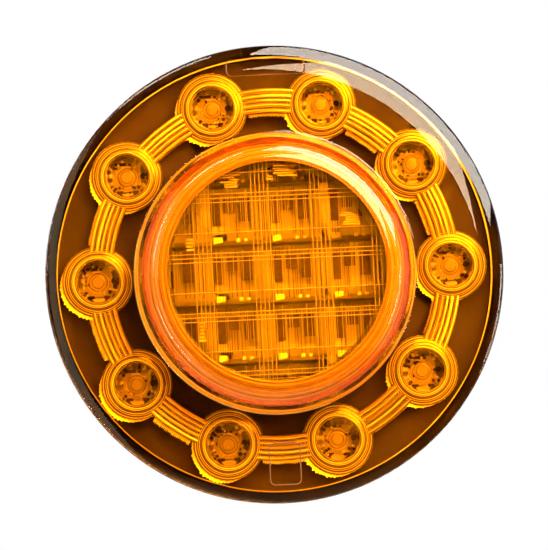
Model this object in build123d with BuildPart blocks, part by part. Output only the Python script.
from build123d import *
import os
from math import cos, radians, sin

# Round amber LED lamp for a trailer. Millimetres.
# The lamp's axis is Y and the lens faces -Y. The origin is the centre of the panel face,
# where the gasket meets the panel. "Height" below is the distance in front of that face,
# towards -Y, so the body that goes through the panel has negative heights.

# ---------------------------------------------------------------- driving sizes
OUTER_R = 61.0             # rim of the housing
LENS_R = 60.8              # edge of the lens
DRUM_R = 36.9              # raised centre of the lens, at its foot
DRUM_TOP_R = 36.2          # the same wall, near the front
BODY_R = 49.6              # body behind the panel, at the flange
BODY_REAR_R = 48.8         # the same wall, at the rear
WALL = 2.2                 # wall of the housing and of the lens

CUP_COUNT = 10
CUP_PITCH_R = 47.0         # circle through the cup centres
CUP_START = 72             # first cup, degrees from +X, half a step beside the top
TURN_PITCH = 15.65         # rows and columns of the centre optics

# Heights in front of the panel face
GASKET_H = 1.5
TRAY_H = 3.2               # inside floor of the flange tray
BOARD_H = 3.8              # rear of the LED board
BOARD_T = 1.6
BOARD_TOP_H = BOARD_H + BOARD_T
MASK_H = 5.5
MASK_T = 0.8
GUIDE_H = 6.4              # rear of the light guide
TRACK_TOP_H = 10.5
RIM_TOP_H = 10.8
RING_H = 15.0              # front of the lens ring
FRONT_H = 27.0             # front of the lens drum
REAR_H = -24.0             # rear wall, outside
DRIVER_H = -10.0           # rear of the driver board
CONNECTOR_H = -42.0        # mouth of the connector receptacle

# Light emitting diodes: square body with a round dome and four legs
LED_SIDE = 7.6
LED_CORNER = 1.0
LED_BODY_T = 1.9
LED_DOME_R = 2.4
LED_LEG_PITCH = 5.08
LED_BASE_H = BOARD_TOP_H
LED_TOP_H = LED_BASE_H + LED_BODY_T

# Fixings
STUD_COUNT = 3
STUD_PCD = 111.0
STUD_R = 2.5
STUD_TIP_H = -18.0
POST_PITCH_R = 28.0        # four posts that hold the LED board
REFLECTOR_POST = 21.9      # reflector posts, along X and along Z
DRIVER_BOSS_R = 36.0       # three bosses that hold the driver board

SECTION = Plane(origin=(0, 0, 0), x_dir=(1, 0, 0), z_dir=(0, 0, -1))    # x radius, y height
ROW_SECTION = Plane(origin=(0, 0, 0), x_dir=(0, 0, 1), z_dir=(1, 0, 0))  # x is Z, y height


def face(height):
    """Plane across the axis at a height: x is X, y is Z, normal towards the viewer."""
    return Plane.XZ.offset(height)


def corner(sketch, radius, height):
    """The corner of a section nearest to a radius and a height."""
    return sketch.vertices().sort_by_distance((radius, height, 0))[0]


def ring_points(count, radius, start):
    """Points on a circle in a face plane, the first at start degrees from +X."""
    step = 360 / count
    angles = [radians(start + step * i) for i in range(count)]
    return [(radius * cos(a), radius * sin(a)) for a in angles]


CUP_POINTS = ring_points(CUP_COUNT, CUP_PITCH_R, CUP_START)
STUD_POINTS = ring_points(STUD_COUNT, STUD_PCD / 2, 90)
POST_POINTS = ring_points(4, POST_PITCH_R, 0)
REFLECTOR_POINTS = [(x * REFLECTOR_POST, z * REFLECTOR_POST) for x in (-1, 1) for z in (-1, 1)]
DRIVER_POINTS = ring_points(3, DRIVER_BOSS_R, 30)
TURN_POINTS = [(0, 0)]
TURN_POINTS += [(x * TURN_PITCH, z * TURN_PITCH) for x in (-1, 1) for z in (-1, 1)]

os.makedirs("parts", exist_ok=True)

# ---------------------------------------------------------------- mounting studs
# Pressed studs with a round head and a neck, buried in the housing's flange.
STUD_HEAD_R = 3.3
STUD_HEAD_T = 0.9
STUD_HEAD_H = 2.0
STUD_NECK_R = 2.9
STUD_CHAMFER = 0.7

with BuildPart() as mounting_studs:
    with BuildSketch(face(STUD_HEAD_H)):
        with Locations(*STUD_POINTS):
            Circle(STUD_HEAD_R)
    extrude(amount=STUD_HEAD_T)
    with BuildSketch(face(GASKET_H)):
        with Locations(*STUD_POINTS):
            Circle(STUD_NECK_R)
    extrude(amount=STUD_HEAD_H - GASKET_H)
    with BuildSketch(face(STUD_TIP_H)):
        with Locations(*STUD_POINTS):
            Circle(STUD_R)
    extrude(amount=GASKET_H - STUD_TIP_H)
    tips = mounting_studs.faces().group_by(Axis.Y)[-1].edges()
    chamfer(tips, length=STUD_CHAMFER)
mounting_studs.part.label = "mounting_studs"
export_step(mounting_studs.part, "parts/mounting_studs.step")

# ---------------------------------------------------------------- rear housing
RIM_ROUND = 0.4
RIM_INNER_R = 58.3
REAR_WALL_H = REAR_H + WALL
POST_R = 3.2
POST_HOLE_R = 1.25
POST_HOLE_DEPTH = 9.0
DRIVER_POST_R = 3.0
SUPPORT_COUNT = 10
SUPPORT_SIZE = (1.6, 2.6)
SUPPORT_R = 51.4
CONNECTOR_Z = -19.0
FLANGE_SIZE = (29.0, 17.0)
CONNECTOR_HOLE = (19.0, 7.0)   # through the rear wall
VENT_POINT = (-24.0, 20.0)
VENT_HOLE_R = 2.5
RIB_COUNT = 6
RIB_SIZE = (22.0, 1.6)
RIB_RADIUS = 33.0
RIB_T = 1.0
PLATE_SIZE = (30.0, 14.0)
PLATE_Z = 12.0
PLATE_DEPTH = 0.5
BODY_ROUND = 2.4

with BuildPart() as rear_housing:
    with BuildSketch(SECTION) as shell:
        with BuildLine():
            Polyline(
                (0, REAR_H), (BODY_REAR_R, REAR_H), (BODY_R, GASKET_H), (OUTER_R, GASKET_H),
                (OUTER_R, RIM_TOP_H), (RIM_INNER_R, RIM_TOP_H), (RIM_INNER_R, TRAY_H),
                (BODY_R - WALL, TRAY_H), (BODY_REAR_R - WALL, REAR_WALL_H), (0, REAR_WALL_H),
                close=True,
            )
        make_face()
        fillet(corner(shell, OUTER_R, RIM_TOP_H), RIM_ROUND)
        fillet(corner(shell, BODY_REAR_R, REAR_H), BODY_ROUND)
        fillet(corner(shell, OUTER_R, GASKET_H), 0.6)
    revolve(axis=Axis.Y)
    # Posts for the LED board and bosses for the driver board
    with BuildSketch(face(REAR_WALL_H)):
        with Locations(*POST_POINTS):
            Circle(POST_R)
    extrude(amount=BOARD_H - REAR_WALL_H)
    with BuildSketch(face(REAR_WALL_H)):
        with Locations(*DRIVER_POINTS):
            Circle(DRIVER_POST_R)
    extrude(amount=DRIVER_H - REAR_WALL_H)
    with BuildSketch(face(BOARD_H)):
        with Locations(*POST_POINTS):
            Circle(POST_HOLE_R)
    extrude(amount=-POST_HOLE_DEPTH, mode=Mode.SUBTRACT)
    with BuildSketch(face(DRIVER_H)):
        with Locations(*DRIVER_POINTS):
            Circle(POST_HOLE_R)
    extrude(amount=-POST_HOLE_DEPTH, mode=Mode.SUBTRACT)
    # Small pads that carry the edge of the LED board, between the cups
    with BuildSketch(face(TRAY_H)):
        with PolarLocations(SUPPORT_R, SUPPORT_COUNT, CUP_START + 18):
            Rectangle(*SUPPORT_SIZE)
    extrude(amount=BOARD_H - TRAY_H)
    # Opening for the connector
    with BuildSketch(face(REAR_H)):
        with Locations((0, CONNECTOR_Z)):
            RectangleRounded(*CONNECTOR_HOLE, 2.0)
    extrude(amount=WALL, mode=Mode.SUBTRACT)
    # Vent hole, stiffening ribs and a blank recess on the rear wall
    with BuildSketch(face(REAR_H)):
        with Locations(VENT_POINT):
            Circle(VENT_HOLE_R)
    extrude(amount=WALL, mode=Mode.SUBTRACT)
    with BuildSketch(face(REAR_H)):
        with PolarLocations(RIB_RADIUS, RIB_COUNT, 0):
            Rectangle(*RIB_SIZE)
        with Locations((0, CONNECTOR_Z)):
            Rectangle(*FLANGE_SIZE, mode=Mode.SUBTRACT)
    extrude(amount=-RIB_T)
    with BuildSketch(face(REAR_H)):
        with Locations((0, PLATE_Z)):
            RectangleRounded(*PLATE_SIZE, 1.5)
    extrude(amount=PLATE_DEPTH, mode=Mode.SUBTRACT)
    add(mounting_studs.part, mode=Mode.SUBTRACT)
rear_housing.part.label = "rear_housing"
export_step(rear_housing.part, "parts/rear_housing.step")

# ---------------------------------------------------------------- connector shell
# A receptacle with a flange outside the rear wall and a plug that goes through it.
CONNECTOR_SIZE = (25.0, 13.0)
CONNECTOR_WALL = 1.7
CONNECTOR_ROUND = 3.0
CONNECTOR_FLOOR_H = -26.0
FLANGE_T = 1.5
PLUG_GAP = 0.1
PIN_COUNT = 3
PIN_PITCH = 6.0
PIN_R = 0.75
LATCH_SIZE = (7.0, 2.0)
LATCH_DEPTH = 6.0
LATCH_T = 4.5

with BuildPart() as connector_shell:
    with BuildSketch(face(REAR_H)):
        with Locations((0, CONNECTOR_Z)):
            RectangleRounded(*FLANGE_SIZE, CONNECTOR_ROUND + 1)
    extrude(amount=-FLANGE_T)
    with BuildSketch(face(REAR_H)):
        with Locations((0, CONNECTOR_Z)):
            RectangleRounded(*CONNECTOR_SIZE, CONNECTOR_ROUND)
    extrude(amount=CONNECTOR_H - REAR_H)
    with BuildSketch(face(REAR_H)):
        with Locations((0, CONNECTOR_Z)):
            RectangleRounded(CONNECTOR_HOLE[0] - 2 * PLUG_GAP, CONNECTOR_HOLE[1] - 2 * PLUG_GAP, 2.0 - PLUG_GAP)
    extrude(amount=WALL)
    with BuildSketch(face(CONNECTOR_H + LATCH_DEPTH)):
        with Locations((0, CONNECTOR_Z + CONNECTOR_SIZE[1] / 2 + LATCH_SIZE[1] / 2)):
            Rectangle(*LATCH_SIZE)
    extrude(amount=-LATCH_T)
    with BuildSketch(face(CONNECTOR_H)):
        with Locations((0, CONNECTOR_Z)):
            RectangleRounded(
                CONNECTOR_SIZE[0] - 2 * CONNECTOR_WALL,
                CONNECTOR_SIZE[1] - 2 * CONNECTOR_WALL,
                CONNECTOR_ROUND - CONNECTOR_WALL,
            )
    extrude(amount=CONNECTOR_FLOOR_H - CONNECTOR_H, mode=Mode.SUBTRACT)
    with BuildSketch(face(CONNECTOR_FLOOR_H)):
        with Locations((0, CONNECTOR_Z)):
            with GridLocations(PIN_PITCH, 1, PIN_COUNT, 1):
                Circle(PIN_R)
    extrude(amount=REAR_WALL_H - CONNECTOR_FLOOR_H, mode=Mode.SUBTRACT)
connector_shell.part.label = "connector_shell"
export_step(connector_shell.part, "parts/connector_shell.step")

# ---------------------------------------------------------------- mounting gasket
GASKET_INNER_R = 50.2
GASKET_OUTER_R = 60.2
GASKET_HOLE_R = 3.8

with BuildPart() as mounting_gasket:
    with BuildSketch(face(0)):
        Circle(GASKET_OUTER_R)
        Circle(GASKET_INNER_R, mode=Mode.SUBTRACT)
        with Locations(*STUD_POINTS):
            Circle(GASKET_HOLE_R, mode=Mode.SUBTRACT)
    extrude(amount=GASKET_H)
mounting_gasket.part.label = "mounting_gasket"
export_step(mounting_gasket.part, "parts/mounting_gasket.step")

# ---------------------------------------------------------------- outer lens
SKIRT_H = 5.4
SKIRT_R = 57.7
SKIRT_INNER_R = 56.4
SHOULDER_R = 56.8          # where the slope of the shoulder would meet the flat ring
SHOULDER_ROUND = 17.7
SHOULDER_INNER_ROUND = 2.8
EDGE_H = 10.9              # underside of the lens where it covers the housing's rim
EDGE_TOP_H = 13.2
EDGE_ROUND = 0.8
DRUM_ROUND = 7.8
DRUM_INNER_ROUND = 6.2
DRUM_FOOT_ROUND = 1.2
DRUM_INNER_R = 34.9
DRUM_INNER_TOP_R = 34.1
FRAME_RELIEF = 0.2
FRAME_LINE = 0.5
TOP_FRAME_SIZE = (21.0, 4.6)
TOP_FRAME_Z = 55.0
LOW_FRAME_SIZE = (8.4, 11.2)
LOW_FRAME_Z = -50.6


def lens_section(relief):
    """Section of the lens, its outside grown by the relief."""
    with BuildSketch(SECTION) as section:
        with BuildLine():
            Polyline(
                (SKIRT_R, SKIRT_H), (SKIRT_R, EDGE_H), (LENS_R, EDGE_H), (LENS_R, EDGE_TOP_H + relief),
                (SHOULDER_R, RING_H + relief), (DRUM_R + relief, RING_H + relief),
                (DRUM_TOP_R + relief, FRONT_H + relief), (0, FRONT_H + relief), (0, FRONT_H - WALL),
                (DRUM_INNER_TOP_R, FRONT_H - WALL), (DRUM_INNER_R, RING_H - WALL),
                (SKIRT_INNER_R, RING_H - WALL), (SKIRT_INNER_R, SKIRT_H),
                close=True,
            )
        make_face()
        fillet(corner(section, SHOULDER_R, RING_H), SHOULDER_ROUND)
        fillet(corner(section, LENS_R, EDGE_TOP_H), EDGE_ROUND)
        fillet(corner(section, SKIRT_INNER_R, RING_H - WALL), SHOULDER_INNER_ROUND)
        fillet(corner(section, DRUM_R, RING_H), DRUM_FOOT_ROUND)
        fillet(corner(section, DRUM_TOP_R, FRONT_H), DRUM_ROUND + relief)
        fillet(corner(section, DRUM_INNER_TOP_R, FRONT_H - WALL), DRUM_INNER_ROUND)
    return section.sketch


def outline(size, rounding):
    """A rounded rectangular outline in the current sketch."""
    RectangleRounded(*size, rounding)
    inner = (size[0] - 2 * FRAME_LINE, size[1] - 2 * FRAME_LINE)
    RectangleRounded(*inner, rounding - FRAME_LINE, mode=Mode.SUBTRACT)


# Blank frames that stand slightly proud of the lens and follow its shoulder
with BuildPart() as frame_outlines:
    for frame_size, frame_z in ((TOP_FRAME_SIZE, TOP_FRAME_Z), (LOW_FRAME_SIZE, LOW_FRAME_Z)):
        with BuildSketch(face(RIM_TOP_H)) as frame_sketch:
            with Locations((0, frame_z)):
                outline(frame_size, 1.4)
        extrude(frame_sketch.sketch, amount=RING_H - RIM_TOP_H + 1)

with BuildPart() as frame_relief:
    add(lens_section(FRAME_RELIEF))
    revolve(axis=Axis.Y)
    add(frame_outlines.part, mode=Mode.INTERSECT)

with BuildPart() as outer_lens:
    add(lens_section(0))
    revolve(axis=Axis.Y)
    add(frame_relief.part)
outer_lens.part.label = "outer_lens"
export_step(outer_lens.part, "parts/outer_lens.step")

# ---------------------------------------------------------------- lens seal and bond
SEAL_W = 1.7
BOND_DEPTH = 1.6

with BuildPart() as lens_seal:
    with BuildSketch(SECTION):
        with Locations(((SKIRT_INNER_R + SKIRT_R) / 2, (TRAY_H + SKIRT_H) / 2)):
            RectangleRounded(SEAL_W, SKIRT_H - TRAY_H, 0.5)
    revolve(axis=Axis.Y)
lens_seal.part.label = "lens_seal"
export_step(lens_seal.part, "parts/lens_seal.step")

# A bead of pale adhesive between the lens's skirt and the rim of the housing
with BuildPart() as lens_bond:
    with BuildSketch(face(RIM_TOP_H - BOND_DEPTH)):
        Circle(RIM_INNER_R)
        Circle(SKIRT_R, mode=Mode.SUBTRACT)
    extrude(amount=BOND_DEPTH)
lens_bond.part.label = "lens_bond"
export_step(lens_bond.part, "parts/lens_bond.step")

# ---------------------------------------------------------------- inner bezel
MASK_OUTER_R = 56.0
MASK_INNER_R = 34.3
MASK_HOLE_R = 5.5
MASK_LIP_R = 54.2
MASK_LIP_T = 0.8

with BuildPart() as inner_bezel:
    with BuildSketch(face(MASK_H)):
        Circle(MASK_OUTER_R)
        Circle(MASK_INNER_R, mode=Mode.SUBTRACT)
        with Locations(*CUP_POINTS):
            Circle(MASK_HOLE_R, mode=Mode.SUBTRACT)
    extrude(amount=MASK_T)
    with BuildSketch(face(TRAY_H)):
        Circle(MASK_LIP_R + MASK_LIP_T)
        Circle(MASK_LIP_R, mode=Mode.SUBTRACT)
    extrude(amount=MASK_H - TRAY_H)
inner_bezel.part.label = "inner_bezel"
export_step(inner_bezel.part, "parts/inner_bezel.step")

# ---------------------------------------------------------------- marker light guide
# Ten stepped cups round the lamp, joined by ridged tracks.
TRACK_R = 46.3
TRACK_W = 6.8
RIDGE_COUNT = 5
RIDGE_R = 0.55
CUP_R = 9.3                                  # outer step, with faceted sides
CUP_H = 10.6
CUP_STEPS = ((8.3, 11.2), (6.9, 11.8))       # radius and front height of the next steps
CUP_SIDES = 36
CUP_BORE_R = 5.2
WINDOW_R = 5.7
WINDOW_H = 10.8

with BuildPart() as marker_light_guide:
    with BuildSketch(face(GUIDE_H)):
        Circle(TRACK_R + TRACK_W / 2)
        Circle(TRACK_R - TRACK_W / 2, mode=Mode.SUBTRACT)
    extrude(amount=TRACK_TOP_H - GUIDE_H)
    with BuildSketch(SECTION):
        for index in range(RIDGE_COUNT):
            ridge_offset = (index - (RIDGE_COUNT - 1) / 2) * TRACK_W / RIDGE_COUNT
            with Locations((TRACK_R + ridge_offset, TRACK_TOP_H)):
                Circle(RIDGE_R)
    revolve(axis=Axis.Y)
    with BuildSketch(face(GUIDE_H)):
        with Locations(*CUP_POINTS):
            Circle(CUP_R - 0.2)
    extrude(amount=RING_H - GUIDE_H, mode=Mode.SUBTRACT)
    with BuildSketch(face(GUIDE_H)):
        with Locations(*CUP_POINTS):
            RegularPolygon(CUP_R, CUP_SIDES)
    extrude(amount=CUP_H - GUIDE_H)
    for step_r, step_h in CUP_STEPS:
        with BuildSketch(face(CUP_H)):
            with Locations(*CUP_POINTS):
                Circle(step_r)
        extrude(amount=step_h - CUP_H)
    with BuildSketch(face(GUIDE_H)):
        with Locations(*CUP_POINTS):
            Circle(CUP_BORE_R)
    extrude(amount=RING_H - GUIDE_H, mode=Mode.SUBTRACT)
    with BuildSketch(face(WINDOW_H)):
        with Locations(*CUP_POINTS):
            Circle(WINDOW_R)
    extrude(amount=RING_H - WINDOW_H, mode=Mode.SUBTRACT)
marker_light_guide.part.label = "marker_light_guide"
export_step(marker_light_guide.part, "parts/marker_light_guide.step")

# ---------------------------------------------------------------- marker lenses
WINDOW_GAP = 0.05
WINDOW_T = 0.7
DOME_RISE = 0.7

with BuildPart() as marker_lenses:
    with BuildSketch(face(WINDOW_H)):
        with Locations(*CUP_POINTS):
            Circle(WINDOW_R - WINDOW_GAP)
    extrude(amount=WINDOW_T + DOME_RISE)
    window_fronts = marker_lenses.faces().group_by(Axis.Y)[0].edges()
    fillet(window_fronts, radius=DOME_RISE)
marker_lenses.part.label = "marker_lenses"
export_step(marker_lenses.part, "parts/marker_lenses.step")

# ---------------------------------------------------------------- light emitting diodes
# Each has two lead frames, one per side, whose legs go down through the board. The upper
# frame is a narrow bar. The lower one is a wide bar that carries the chip's cup.
LEG_SIZE = (0.9, 0.6)
LEG_BELOW = 0.5
FRAME_H = LED_BASE_H + 0.7
FRAME_T = 0.4
UPPER_BAR = (6.0, 0.9)
LOWER_BAR = (6.0, 1.7)
CUP_PADDLE_R = 1.45
CHIP_SIDE = 0.9
CHIP_T = 0.25


def legs(points):
    """The legs' places for LEDs at some points, all turned the same way."""
    half = LED_LEG_PITCH / 2
    return [(x + i * half, z + j * half) for x, z in points for i in (-1, 1) for j in (-1, 1)]


def led_frames(points):
    """Lead frames of the LEDs at some points."""
    half = LED_LEG_PITCH / 2
    with BuildPart() as frames:
        with BuildSketch(face(BOARD_H - LEG_BELOW)):
            with Locations(*legs(points)):
                Rectangle(*LEG_SIZE)
        extrude(amount=FRAME_H + FRAME_T - BOARD_H + LEG_BELOW)
        with BuildSketch(face(FRAME_H)):
            with Locations(*[(x, z + half) for x, z in points]):
                Rectangle(*UPPER_BAR)
            with Locations(*[(x, z - half + 0.3) for x, z in points]):
                Rectangle(*LOWER_BAR)
            with Locations(*points):
                Circle(CUP_PADDLE_R)
        extrude(amount=FRAME_T)
    return frames.part


def led_chips(points):
    """Chips of the LEDs at some points."""
    with BuildPart() as chips:
        with BuildSketch(face(FRAME_H + FRAME_T)):
            with Locations(*points):
                Rectangle(CHIP_SIDE, CHIP_SIDE)
        extrude(amount=CHIP_T)
    return chips.part


def led_bodies(points, frames, chips):
    """Clear bodies of the LEDs at some points, moulded round their frames and chips."""
    with BuildPart() as bodies:
        with BuildSketch(face(LED_BASE_H)):
            with Locations(*points):
                RectangleRounded(LED_SIDE, LED_SIDE, LED_CORNER)
        extrude(amount=LED_BODY_T)
        with Locations(*[(x, -LED_TOP_H, z) for x, z in points]):
            Sphere(LED_DOME_R)
        split(bisect_by=face(LED_BASE_H), keep=Keep.TOP)
        add(frames, mode=Mode.SUBTRACT)
        add(chips, mode=Mode.SUBTRACT)
    return bodies.part


for led_name, led_points in (("marker_led", CUP_POINTS), ("turn_led", TURN_POINTS)):
    frame_set = led_frames(led_points)
    chip_set = led_chips(led_points)
    body_set = led_bodies(led_points, frame_set, chip_set)
    led_pieces = (("frames", frame_set), ("chips", chip_set), ("bodies", body_set))
    for piece_name, piece in led_pieces:
        piece.label = f"{led_name}_{piece_name}"
        export_step(piece, f"parts/{led_name}_{piece_name}.step")

# ---------------------------------------------------------------- LED board
BOARD_R = 53.4
SCREW_R = 1.25
SCREW_CLEAR_R = 1.5
LINK_COUNT = 6
LINK_PITCH = 2.54
LINK_Z = 21.0
LINK_SIDE = 0.64
LINK_HOLE_R = 0.46
LINK_TOP_H = 6.1
LINK_LOW_H = DRIVER_H - 0.8

with BuildPart() as led_board:
    with BuildSketch(face(BOARD_H)):
        Circle(BOARD_R)
        with Locations(*POST_POINTS):
            Circle(SCREW_CLEAR_R, mode=Mode.SUBTRACT)
        with Locations(*REFLECTOR_POINTS):
            Circle(SCREW_CLEAR_R, mode=Mode.SUBTRACT)
        with Locations(*legs(CUP_POINTS), *legs(TURN_POINTS)):
            Rectangle(*LEG_SIZE, mode=Mode.SUBTRACT)
        with Locations((0, LINK_Z)):
            with GridLocations(LINK_PITCH, 1, LINK_COUNT, 1):
                Circle(LINK_HOLE_R, mode=Mode.SUBTRACT)
    extrude(amount=BOARD_T)
led_board.part.label = "led_board"
export_step(led_board.part, "parts/led_board.step")

# ---------------------------------------------------------------- reflector
# A thin mirror-coated moulding: five troughs that run along X inside an eight-sided wall,
# a round skirt that stands on the LED board, and a collar round each LED.
MIRROR_RIM_H = 16.0
MIRROR_T = 1.2
TROUGH_SAG = 3.5
TROUGH_FLOOR_H = MIRROR_RIM_H - TROUGH_SAG
SHELL_R = 33.6
POCKET_SIDE = 54.4
POCKET_CORNER = 8.9
MIRROR_LOW_H = 10.6
COLLAR_R = 4.3
COLLAR_BORE_R = 3.4
COLLAR_LOW_H = 7.7
MIRROR_POST_R = 2.2
MIRROR_SCREW_R = 1.1
MIRROR_SCREW_TIP_H = 10.4
GLINT_SIZE = (2.3, 2.0)
GLINT_T = 1.6
GLINT_SHIFT = (0.9, -6.9)
GLINT_TILT = 24.0
GLINT_H = 15.1
SMALL_GLINT_SIZE = (1.0, 1.2)
SMALL_GLINT_SHIFTS = (6.0, 7.8)
LUG_W = 2.7
LUG_TIP_R = 38.6
LUG_T = 1.0


def trough_arcs(drop):
    """The troughs' outline across the rows, lowered by a drop."""
    rim = MIRROR_RIM_H - drop
    for row in range(-2, 3):
        middle = row * TURN_PITCH
        half = TURN_PITCH / 2
        ThreePointArc((middle - half, rim), (middle, rim - TROUGH_SAG), (middle + half, rim))


with BuildPart() as trough_sheet:
    end = 2.5 * TURN_PITCH
    with BuildSketch(ROW_SECTION):
        with BuildLine():
            trough_arcs(0)
            Line((end, MIRROR_RIM_H), (end, MIRROR_RIM_H - MIRROR_T))
            trough_arcs(MIRROR_T)
            Line((-end, MIRROR_RIM_H), (-end, MIRROR_RIM_H - MIRROR_T))
        make_face()
    extrude(amount=end, both=True)
    with BuildSketch(face(MIRROR_LOW_H)) as pocket:
        Rectangle(POCKET_SIDE, POCKET_SIDE)
        chamfer(pocket.vertices(), POCKET_CORNER)
    extrude(amount=FRONT_H - MIRROR_LOW_H, mode=Mode.INTERSECT)

with BuildPart() as glints:
    for column in (-1, 0, 1):
        for row in (-1, 0, 1):
            middle_x = column * TURN_PITCH
            middle_z = row * TURN_PITCH + GLINT_SHIFT[1]
            with Locations(Location((middle_x + GLINT_SHIFT[0], -GLINT_H, middle_z), (GLINT_TILT, 0, 0))):
                Box(GLINT_SIZE[0], GLINT_T, GLINT_SIZE[1])
            for shift in SMALL_GLINT_SHIFTS:
                place = (middle_x + shift, -GLINT_H + 0.3, middle_z + 0.2)
                with Locations(Location(place, (GLINT_TILT, 0, 0))):
                    Box(SMALL_GLINT_SIZE[0], GLINT_T, SMALL_GLINT_SIZE[1])

with BuildPart() as reflector:
    # Round skirt, front deck and eight-sided wall
    with BuildSketch(face(BOARD_TOP_H)):
        Circle(SHELL_R)
        Circle(SHELL_R - MIRROR_T, mode=Mode.SUBTRACT)
    extrude(amount=MIRROR_RIM_H - BOARD_TOP_H)
    with BuildSketch(face(MIRROR_RIM_H)):
        Circle(SHELL_R)
        add(pocket.sketch_local, mode=Mode.SUBTRACT)
    extrude(amount=-MIRROR_T)
    with BuildSketch(face(MIRROR_LOW_H)) as wall:
        add(pocket.sketch_local)
        offset(amount=MIRROR_T, kind=Kind.INTERSECTION)
        add(pocket.sketch_local, mode=Mode.SUBTRACT)
        Circle(SHELL_R, mode=Mode.INTERSECT)
    extrude(amount=MIRROR_RIM_H - MIRROR_LOW_H)
    add(trough_sheet.part)
    # Posts for the screws that come through the board
    with BuildSketch(face(BOARD_TOP_H)):
        with Locations(*REFLECTOR_POINTS):
            Circle(MIRROR_POST_R)
    extrude(amount=TROUGH_FLOOR_H + 1 - BOARD_TOP_H)
    add(glints.part)
    # Collars and openings for the LEDs
    with BuildSketch(face(COLLAR_LOW_H)):
        with Locations(*TURN_POINTS):
            Circle(COLLAR_R)
    extrude(amount=TROUGH_FLOOR_H - COLLAR_LOW_H)
    with BuildSketch(face(COLLAR_LOW_H)):
        with Locations(*TURN_POINTS):
            Circle(COLLAR_BORE_R)
    extrude(amount=MIRROR_RIM_H - COLLAR_LOW_H, mode=Mode.SUBTRACT)
    with BuildSketch(face(BOARD_TOP_H)):
        with Locations(*REFLECTOR_POINTS):
            Circle(MIRROR_SCREW_R)
    extrude(amount=MIRROR_SCREW_TIP_H - BOARD_TOP_H, mode=Mode.SUBTRACT)
    # Locating lug at the top
    with BuildSketch(face(MASK_H + MASK_T + 0.05)):
        with Locations((0, (SHELL_R - 0.5 + LUG_TIP_R) / 2)):
            Rectangle(LUG_W, LUG_TIP_R - SHELL_R + 0.5)
    extrude(amount=LUG_T)
reflector.part.label = "reflector"
export_step(reflector.part, "parts/reflector.step")

# ---------------------------------------------------------------- prism lens
# A clear plate with upright flutes on its rear and level ridges on its front.
PRISM_R = 32.6
PRISM_H = 19.4
PRISM_T = 1.6
FLUTE_PITCH = TURN_PITCH / 14
FLUTE_RISE = 0.06
RIDGE_W = 0.5
RIDGE_RISE = 0.3
BOLD_COLUMN = -3.4             # middle of one bold group, in X
BOLD_COUNT = 5
BAND_ROW = 4.3                 # middle of one band of ridges, in Z
BAND_COUNT = 3
BAND_PITCH = 1.1
SINGLE_ROW = -4.8              # middle of one single ridge, in Z
STRIP_SIZE = (2.3, 13.0)       # frosted strips beside the LEDs
STRIP_T = 0.9
STRIP_X = -2.05
STRIP_ROWS = {1: 17.6, 0: 0.2, -1: -17.4}


def prism_ridge(width, rise, middle):
    """A three-sided ridge that stands on the local x axis."""
    half = width / 2
    Polygon((middle - half, -0.2), (middle + half, -0.2), (middle + half, 0), (middle, rise),
            (middle - half, 0), align=None)


with BuildPart() as flutes:
    flute_count = int(2 * PRISM_R / FLUTE_PITCH)
    with BuildSketch(Plane(origin=(0, -PRISM_H, 0), x_dir=(1, 0, 0), z_dir=(0, 0, 1))):
        for index in range(flute_count + 1):
            flute_x = (index - flute_count / 2) * FLUTE_PITCH
            column = (flute_x - BOLD_COLUMN + TURN_PITCH / 2) % TURN_PITCH - TURN_PITCH / 2
            bold = abs(column) < BOLD_COUNT * FLUTE_PITCH / 2
            if bold:
                prism_ridge(RIDGE_W, RIDGE_RISE, flute_x)
            else:
                prism_ridge(FLUTE_PITCH, FLUTE_RISE, flute_x)
    extrude(amount=PRISM_R, both=True)

with BuildPart() as bands:
    with BuildSketch(Plane(origin=(0, -PRISM_H - PRISM_T, 0), x_dir=(0, 0, 1), z_dir=(1, 0, 0))):
        for row in range(-2, 2):
            for index in range(BAND_COUNT):
                band_z = BAND_ROW + row * TURN_PITCH + (index - 1) * BAND_PITCH
                prism_ridge(RIDGE_W, RIDGE_RISE, band_z)
            prism_ridge(RIDGE_W, RIDGE_RISE, SINGLE_ROW + (row + 1) * TURN_PITCH)
    extrude(amount=PRISM_R, both=True)

with BuildPart() as prism_lens:
    with BuildSketch(face(PRISM_H)):
        Circle(PRISM_R)
    extrude(amount=PRISM_T)
    add(flutes.part)
    add(bands.part)
    with BuildSketch(face(PRISM_H)):
        for x_step, z_step in [(0, 0), (-1, 1), (1, 1), (-1, -1), (1, -1)]:
            with Locations((STRIP_X + x_step * TURN_PITCH, STRIP_ROWS[z_step])):
                Rectangle(*STRIP_SIZE)
    extrude(amount=-STRIP_T)
    with BuildSketch(face(MIRROR_RIM_H)):
        Circle(PRISM_R)
    extrude(amount=FRONT_H - MIRROR_RIM_H, mode=Mode.INTERSECT)
    # Rim that stands on the reflector
    with BuildSketch(face(MIRROR_RIM_H)):
        Circle(PRISM_R)
        Circle(PRISM_R - 1.0, mode=Mode.SUBTRACT)
    extrude(amount=PRISM_H - MIRROR_RIM_H)
prism_lens.part.label = "prism_lens"
export_step(prism_lens.part, "parts/prism_lens.step")

# ---------------------------------------------------------------- driver board
DRIVER_R = 42.0
DRIVER_T = 1.6
DRIVER_TOP_H = DRIVER_H + DRIVER_T
POST_CLEAR_R = 3.8
PIN_HOLE_R = 0.85

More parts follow.
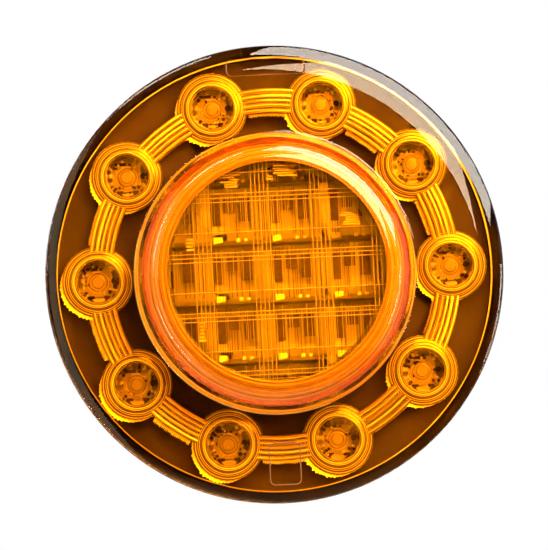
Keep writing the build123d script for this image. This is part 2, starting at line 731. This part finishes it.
with BuildPart() as driver_board:
    with BuildSketch(face(DRIVER_H)):
        Circle(DRIVER_R)
        with Locations(*POST_POINTS):
            Circle(POST_CLEAR_R, mode=Mode.SUBTRACT)
        with Locations(*DRIVER_POINTS):
            Circle(SCREW_CLEAR_R, mode=Mode.SUBTRACT)
        with Locations((0, LINK_Z)):
            with GridLocations(LINK_PITCH, 1, LINK_COUNT, 1):
                Circle(LINK_HOLE_R, mode=Mode.SUBTRACT)
        with Locations((0, CONNECTOR_Z)):
            with GridLocations(PIN_PITCH, 1, PIN_COUNT, 1):
                Circle(PIN_HOLE_R, mode=Mode.SUBTRACT)
    extrude(amount=DRIVER_T)
driver_board.part.label = "driver_board"
export_step(driver_board.part, "parts/driver_board.step")

with BuildPart() as board_link_pins:
    with BuildSketch(face(LINK_LOW_H)):
        with Locations((0, LINK_Z)):
            with GridLocations(LINK_PITCH, 1, LINK_COUNT, 1):
                Rectangle(LINK_SIDE, LINK_SIDE)
    extrude(amount=LINK_TOP_H - LINK_LOW_H)
board_link_pins.part.label = "board_link_pins"
export_step(board_link_pins.part, "parts/board_link_pins.step")

# ---------------------------------------------------------------- parts on the driver board
CHIP_POINTS = ((-12, 14), (12, 14))
CHIP_BODY = (4.0, 5.0, 1.5)
INDUCTOR_POINT = (0, 4)
INDUCTOR_SIZE = (7.3, 7.3, 3.6)
RESISTOR_SIZE = (6.3, 3.2, 0.6)
RESISTOR_POINTS = ((-12, 27.5), (12, 27.5))
RESISTOR_GRID = (9.0, 5.0, 2, 2)
CAPACITOR_POINTS = ((-24, -8), (24, -8))
CAPACITOR_R = 4.0
CAPACITOR_LENGTH = 9.5
DIODE_POINTS = ((-13, -11), (13, -11))
DIODE_SIZE = (6.8, 5.8, 2.2)

with BuildPart() as driver_chips:
    with BuildSketch(face(DRIVER_TOP_H)):
        with Locations(*CHIP_POINTS):
            Rectangle(CHIP_BODY[0], CHIP_BODY[1])
    extrude(amount=CHIP_BODY[2])
    chamfer(driver_chips.faces().group_by(Axis.Y)[0].edges(), length=0.3)
    # Legs, four each side
    with BuildSketch(face(DRIVER_TOP_H)):
        with Locations(*CHIP_POINTS):
            with GridLocations(CHIP_BODY[0] + 1.0, 1.27, 2, 4):
                Rectangle(1.1, 0.42)
    extrude(amount=0.25)
driver_chips.part.label = "driver_chips"
export_step(driver_chips.part, "parts/driver_chips.step")

with BuildPart() as inductor:
    with BuildSketch(face(DRIVER_TOP_H)):
        with Locations(INDUCTOR_POINT):
            RectangleRounded(INDUCTOR_SIZE[0], INDUCTOR_SIZE[1], 1.6)
    extrude(amount=INDUCTOR_SIZE[2])
    fillet(inductor.faces().group_by(Axis.Y)[0].edges(), radius=0.5)
inductor.part.label = "inductor"
export_step(inductor.part, "parts/inductor.step")

with BuildPart() as resistors:
    with BuildSketch(face(DRIVER_TOP_H)):
        with Locations(*RESISTOR_POINTS):
            with GridLocations(*RESISTOR_GRID):
                Rectangle(RESISTOR_SIZE[0], RESISTOR_SIZE[1])
    extrude(amount=RESISTOR_SIZE[2])
resistors.part.label = "resistors"
export_step(resistors.part, "parts/resistors.step")

with BuildPart() as capacitors:
    with BuildSketch(face(DRIVER_TOP_H)):
        with Locations(*CAPACITOR_POINTS):
            Circle(CAPACITOR_R)
    extrude(amount=CAPACITOR_LENGTH)
    fillet(capacitors.faces().group_by(Axis.Y)[0].edges(), radius=0.6)
capacitors.part.label = "capacitors"
export_step(capacitors.part, "parts/capacitors.step")

with BuildPart() as protection_diodes:
    with BuildSketch(face(DRIVER_TOP_H)):
        with Locations(*DIODE_POINTS):
            Rectangle(DIODE_SIZE[0], DIODE_SIZE[1])
    extrude(amount=DIODE_SIZE[2])
    chamfer(protection_diodes.faces().group_by(Axis.Y)[0].edges(), length=0.4)
protection_diodes.part.label = "protection_diodes"
export_step(protection_diodes.part, "parts/protection_diodes.step")

# ---------------------------------------------------------------- screws
HEAD_R = 2.4
HEAD_T = 1.3
SLOT_SIZE = (3.2, 0.7)
SLOT_DEPTH = 0.6


def screws(points, seat, tip, shank_r):
    """Pan head screws whose heads sit at a seat height and whose points reach a tip height."""
    towards_viewer = 1 if seat > tip else -1
    with BuildPart() as group:
        with BuildSketch(face(seat)):
            with Locations(*points):
                Circle(HEAD_R)
        extrude(amount=HEAD_T * towards_viewer)
        tops = group.faces().sort_by(Axis.Y)
        outer = tops[: len(points)] if towards_viewer > 0 else tops[-len(points):]
        fillet(outer.edges(), radius=0.5)
        with BuildSketch(face(seat + HEAD_T * towards_viewer)):
            with Locations(*points):
                Rectangle(*SLOT_SIZE)
                Rectangle(SLOT_SIZE[1], SLOT_SIZE[0])
        extrude(amount=-SLOT_DEPTH * towards_viewer, mode=Mode.SUBTRACT)
        with BuildSketch(face(seat)):
            with Locations(*points):
                Circle(shank_r)
        extrude(amount=tip - seat)
    return group.part


screw_sets = (
    ("board_screws", screws(POST_POINTS, BOARD_TOP_H, BOARD_H - 7, SCREW_R)),
    ("driver_screws", screws(DRIVER_POINTS, DRIVER_TOP_H, DRIVER_H - 7, SCREW_R)),
    ("reflector_screws", screws(REFLECTOR_POINTS, BOARD_H, MIRROR_SCREW_TIP_H, MIRROR_SCREW_R)),
)
for screw_name, screw_set in screw_sets:
    screw_set.label = screw_name
    export_step(screw_set, f"parts/{screw_name}.step")

# ---------------------------------------------------------------- connector pins and sealant
PIN_TIP_H = -34.0
PIN_BACK_H = DRIVER_TOP_H + 0.8
SEALANT_SIZE = (22.0, 8.0)
SEALANT_T = 3.0

with BuildPart() as connector_pins:
    with BuildSketch(face(PIN_TIP_H)):
        with Locations((0, CONNECTOR_Z)):
            with GridLocations(PIN_PITCH, 1, PIN_COUNT, 1):
                Circle(PIN_R)
    extrude(amount=PIN_BACK_H - PIN_TIP_H)
    chamfer(connector_pins.faces().group_by(Axis.Y)[-1].edges(), length=0.25)
connector_pins.part.label = "connector_pins"
export_step(connector_pins.part, "parts/connector_pins.step")

with BuildPart() as pin_sealant:
    with BuildSketch(face(REAR_WALL_H)):
        with Locations((0, CONNECTOR_Z)):
            RectangleRounded(*SEALANT_SIZE, 3.0)
            with GridLocations(PIN_PITCH, 1, PIN_COUNT, 1):
                Circle(PIN_R, mode=Mode.SUBTRACT)
    extrude(amount=SEALANT_T)
pin_sealant.part.label = "pin_sealant"
export_step(pin_sealant.part, "parts/pin_sealant.step")

# ---------------------------------------------------------------- vent
VENT_CAP_R = 5.0
VENT_CAP_T = 2.2
VENT_BORE_R = 1.2
VENT_STEM_H = REAR_WALL_H + 1.4
MEMBRANE_R = 2.2
MEMBRANE_T = 0.3

with BuildPart() as vent_cap:
    with BuildSketch(face(REAR_H)):
        with Locations(VENT_POINT):
            Circle(VENT_CAP_R)
    extrude(amount=-VENT_CAP_T)
    fillet(vent_cap.faces().sort_by(Axis.Y)[-1].edges(), radius=0.8)
    with BuildSketch(face(REAR_H)):
        with Locations(VENT_POINT):
            Circle(VENT_HOLE_R)
    extrude(amount=VENT_STEM_H - REAR_H)
    with BuildSketch(face(VENT_STEM_H)):
        with Locations(VENT_POINT):
            Circle(VENT_BORE_R)
    extrude(amount=REAR_H - VENT_STEM_H - 1.2, mode=Mode.SUBTRACT)
    # Breathing slots across the cap, under its closed end
    with BuildSketch(face(REAR_H)):
        with Locations(VENT_POINT):
            Rectangle(2 * VENT_CAP_R, 1.0)
            Rectangle(1.0, 2 * VENT_CAP_R)
    extrude(amount=-0.8, mode=Mode.SUBTRACT)
vent_cap.part.label = "vent_cap"
export_step(vent_cap.part, "parts/vent_cap.step")

with BuildPart() as vent_membrane:
    with BuildSketch(face(VENT_STEM_H)):
        with Locations(VENT_POINT):
            Circle(MEMBRANE_R)
    extrude(amount=MEMBRANE_T)
vent_membrane.part.label = "vent_membrane"
export_step(vent_membrane.part, "parts/vent_membrane.step")
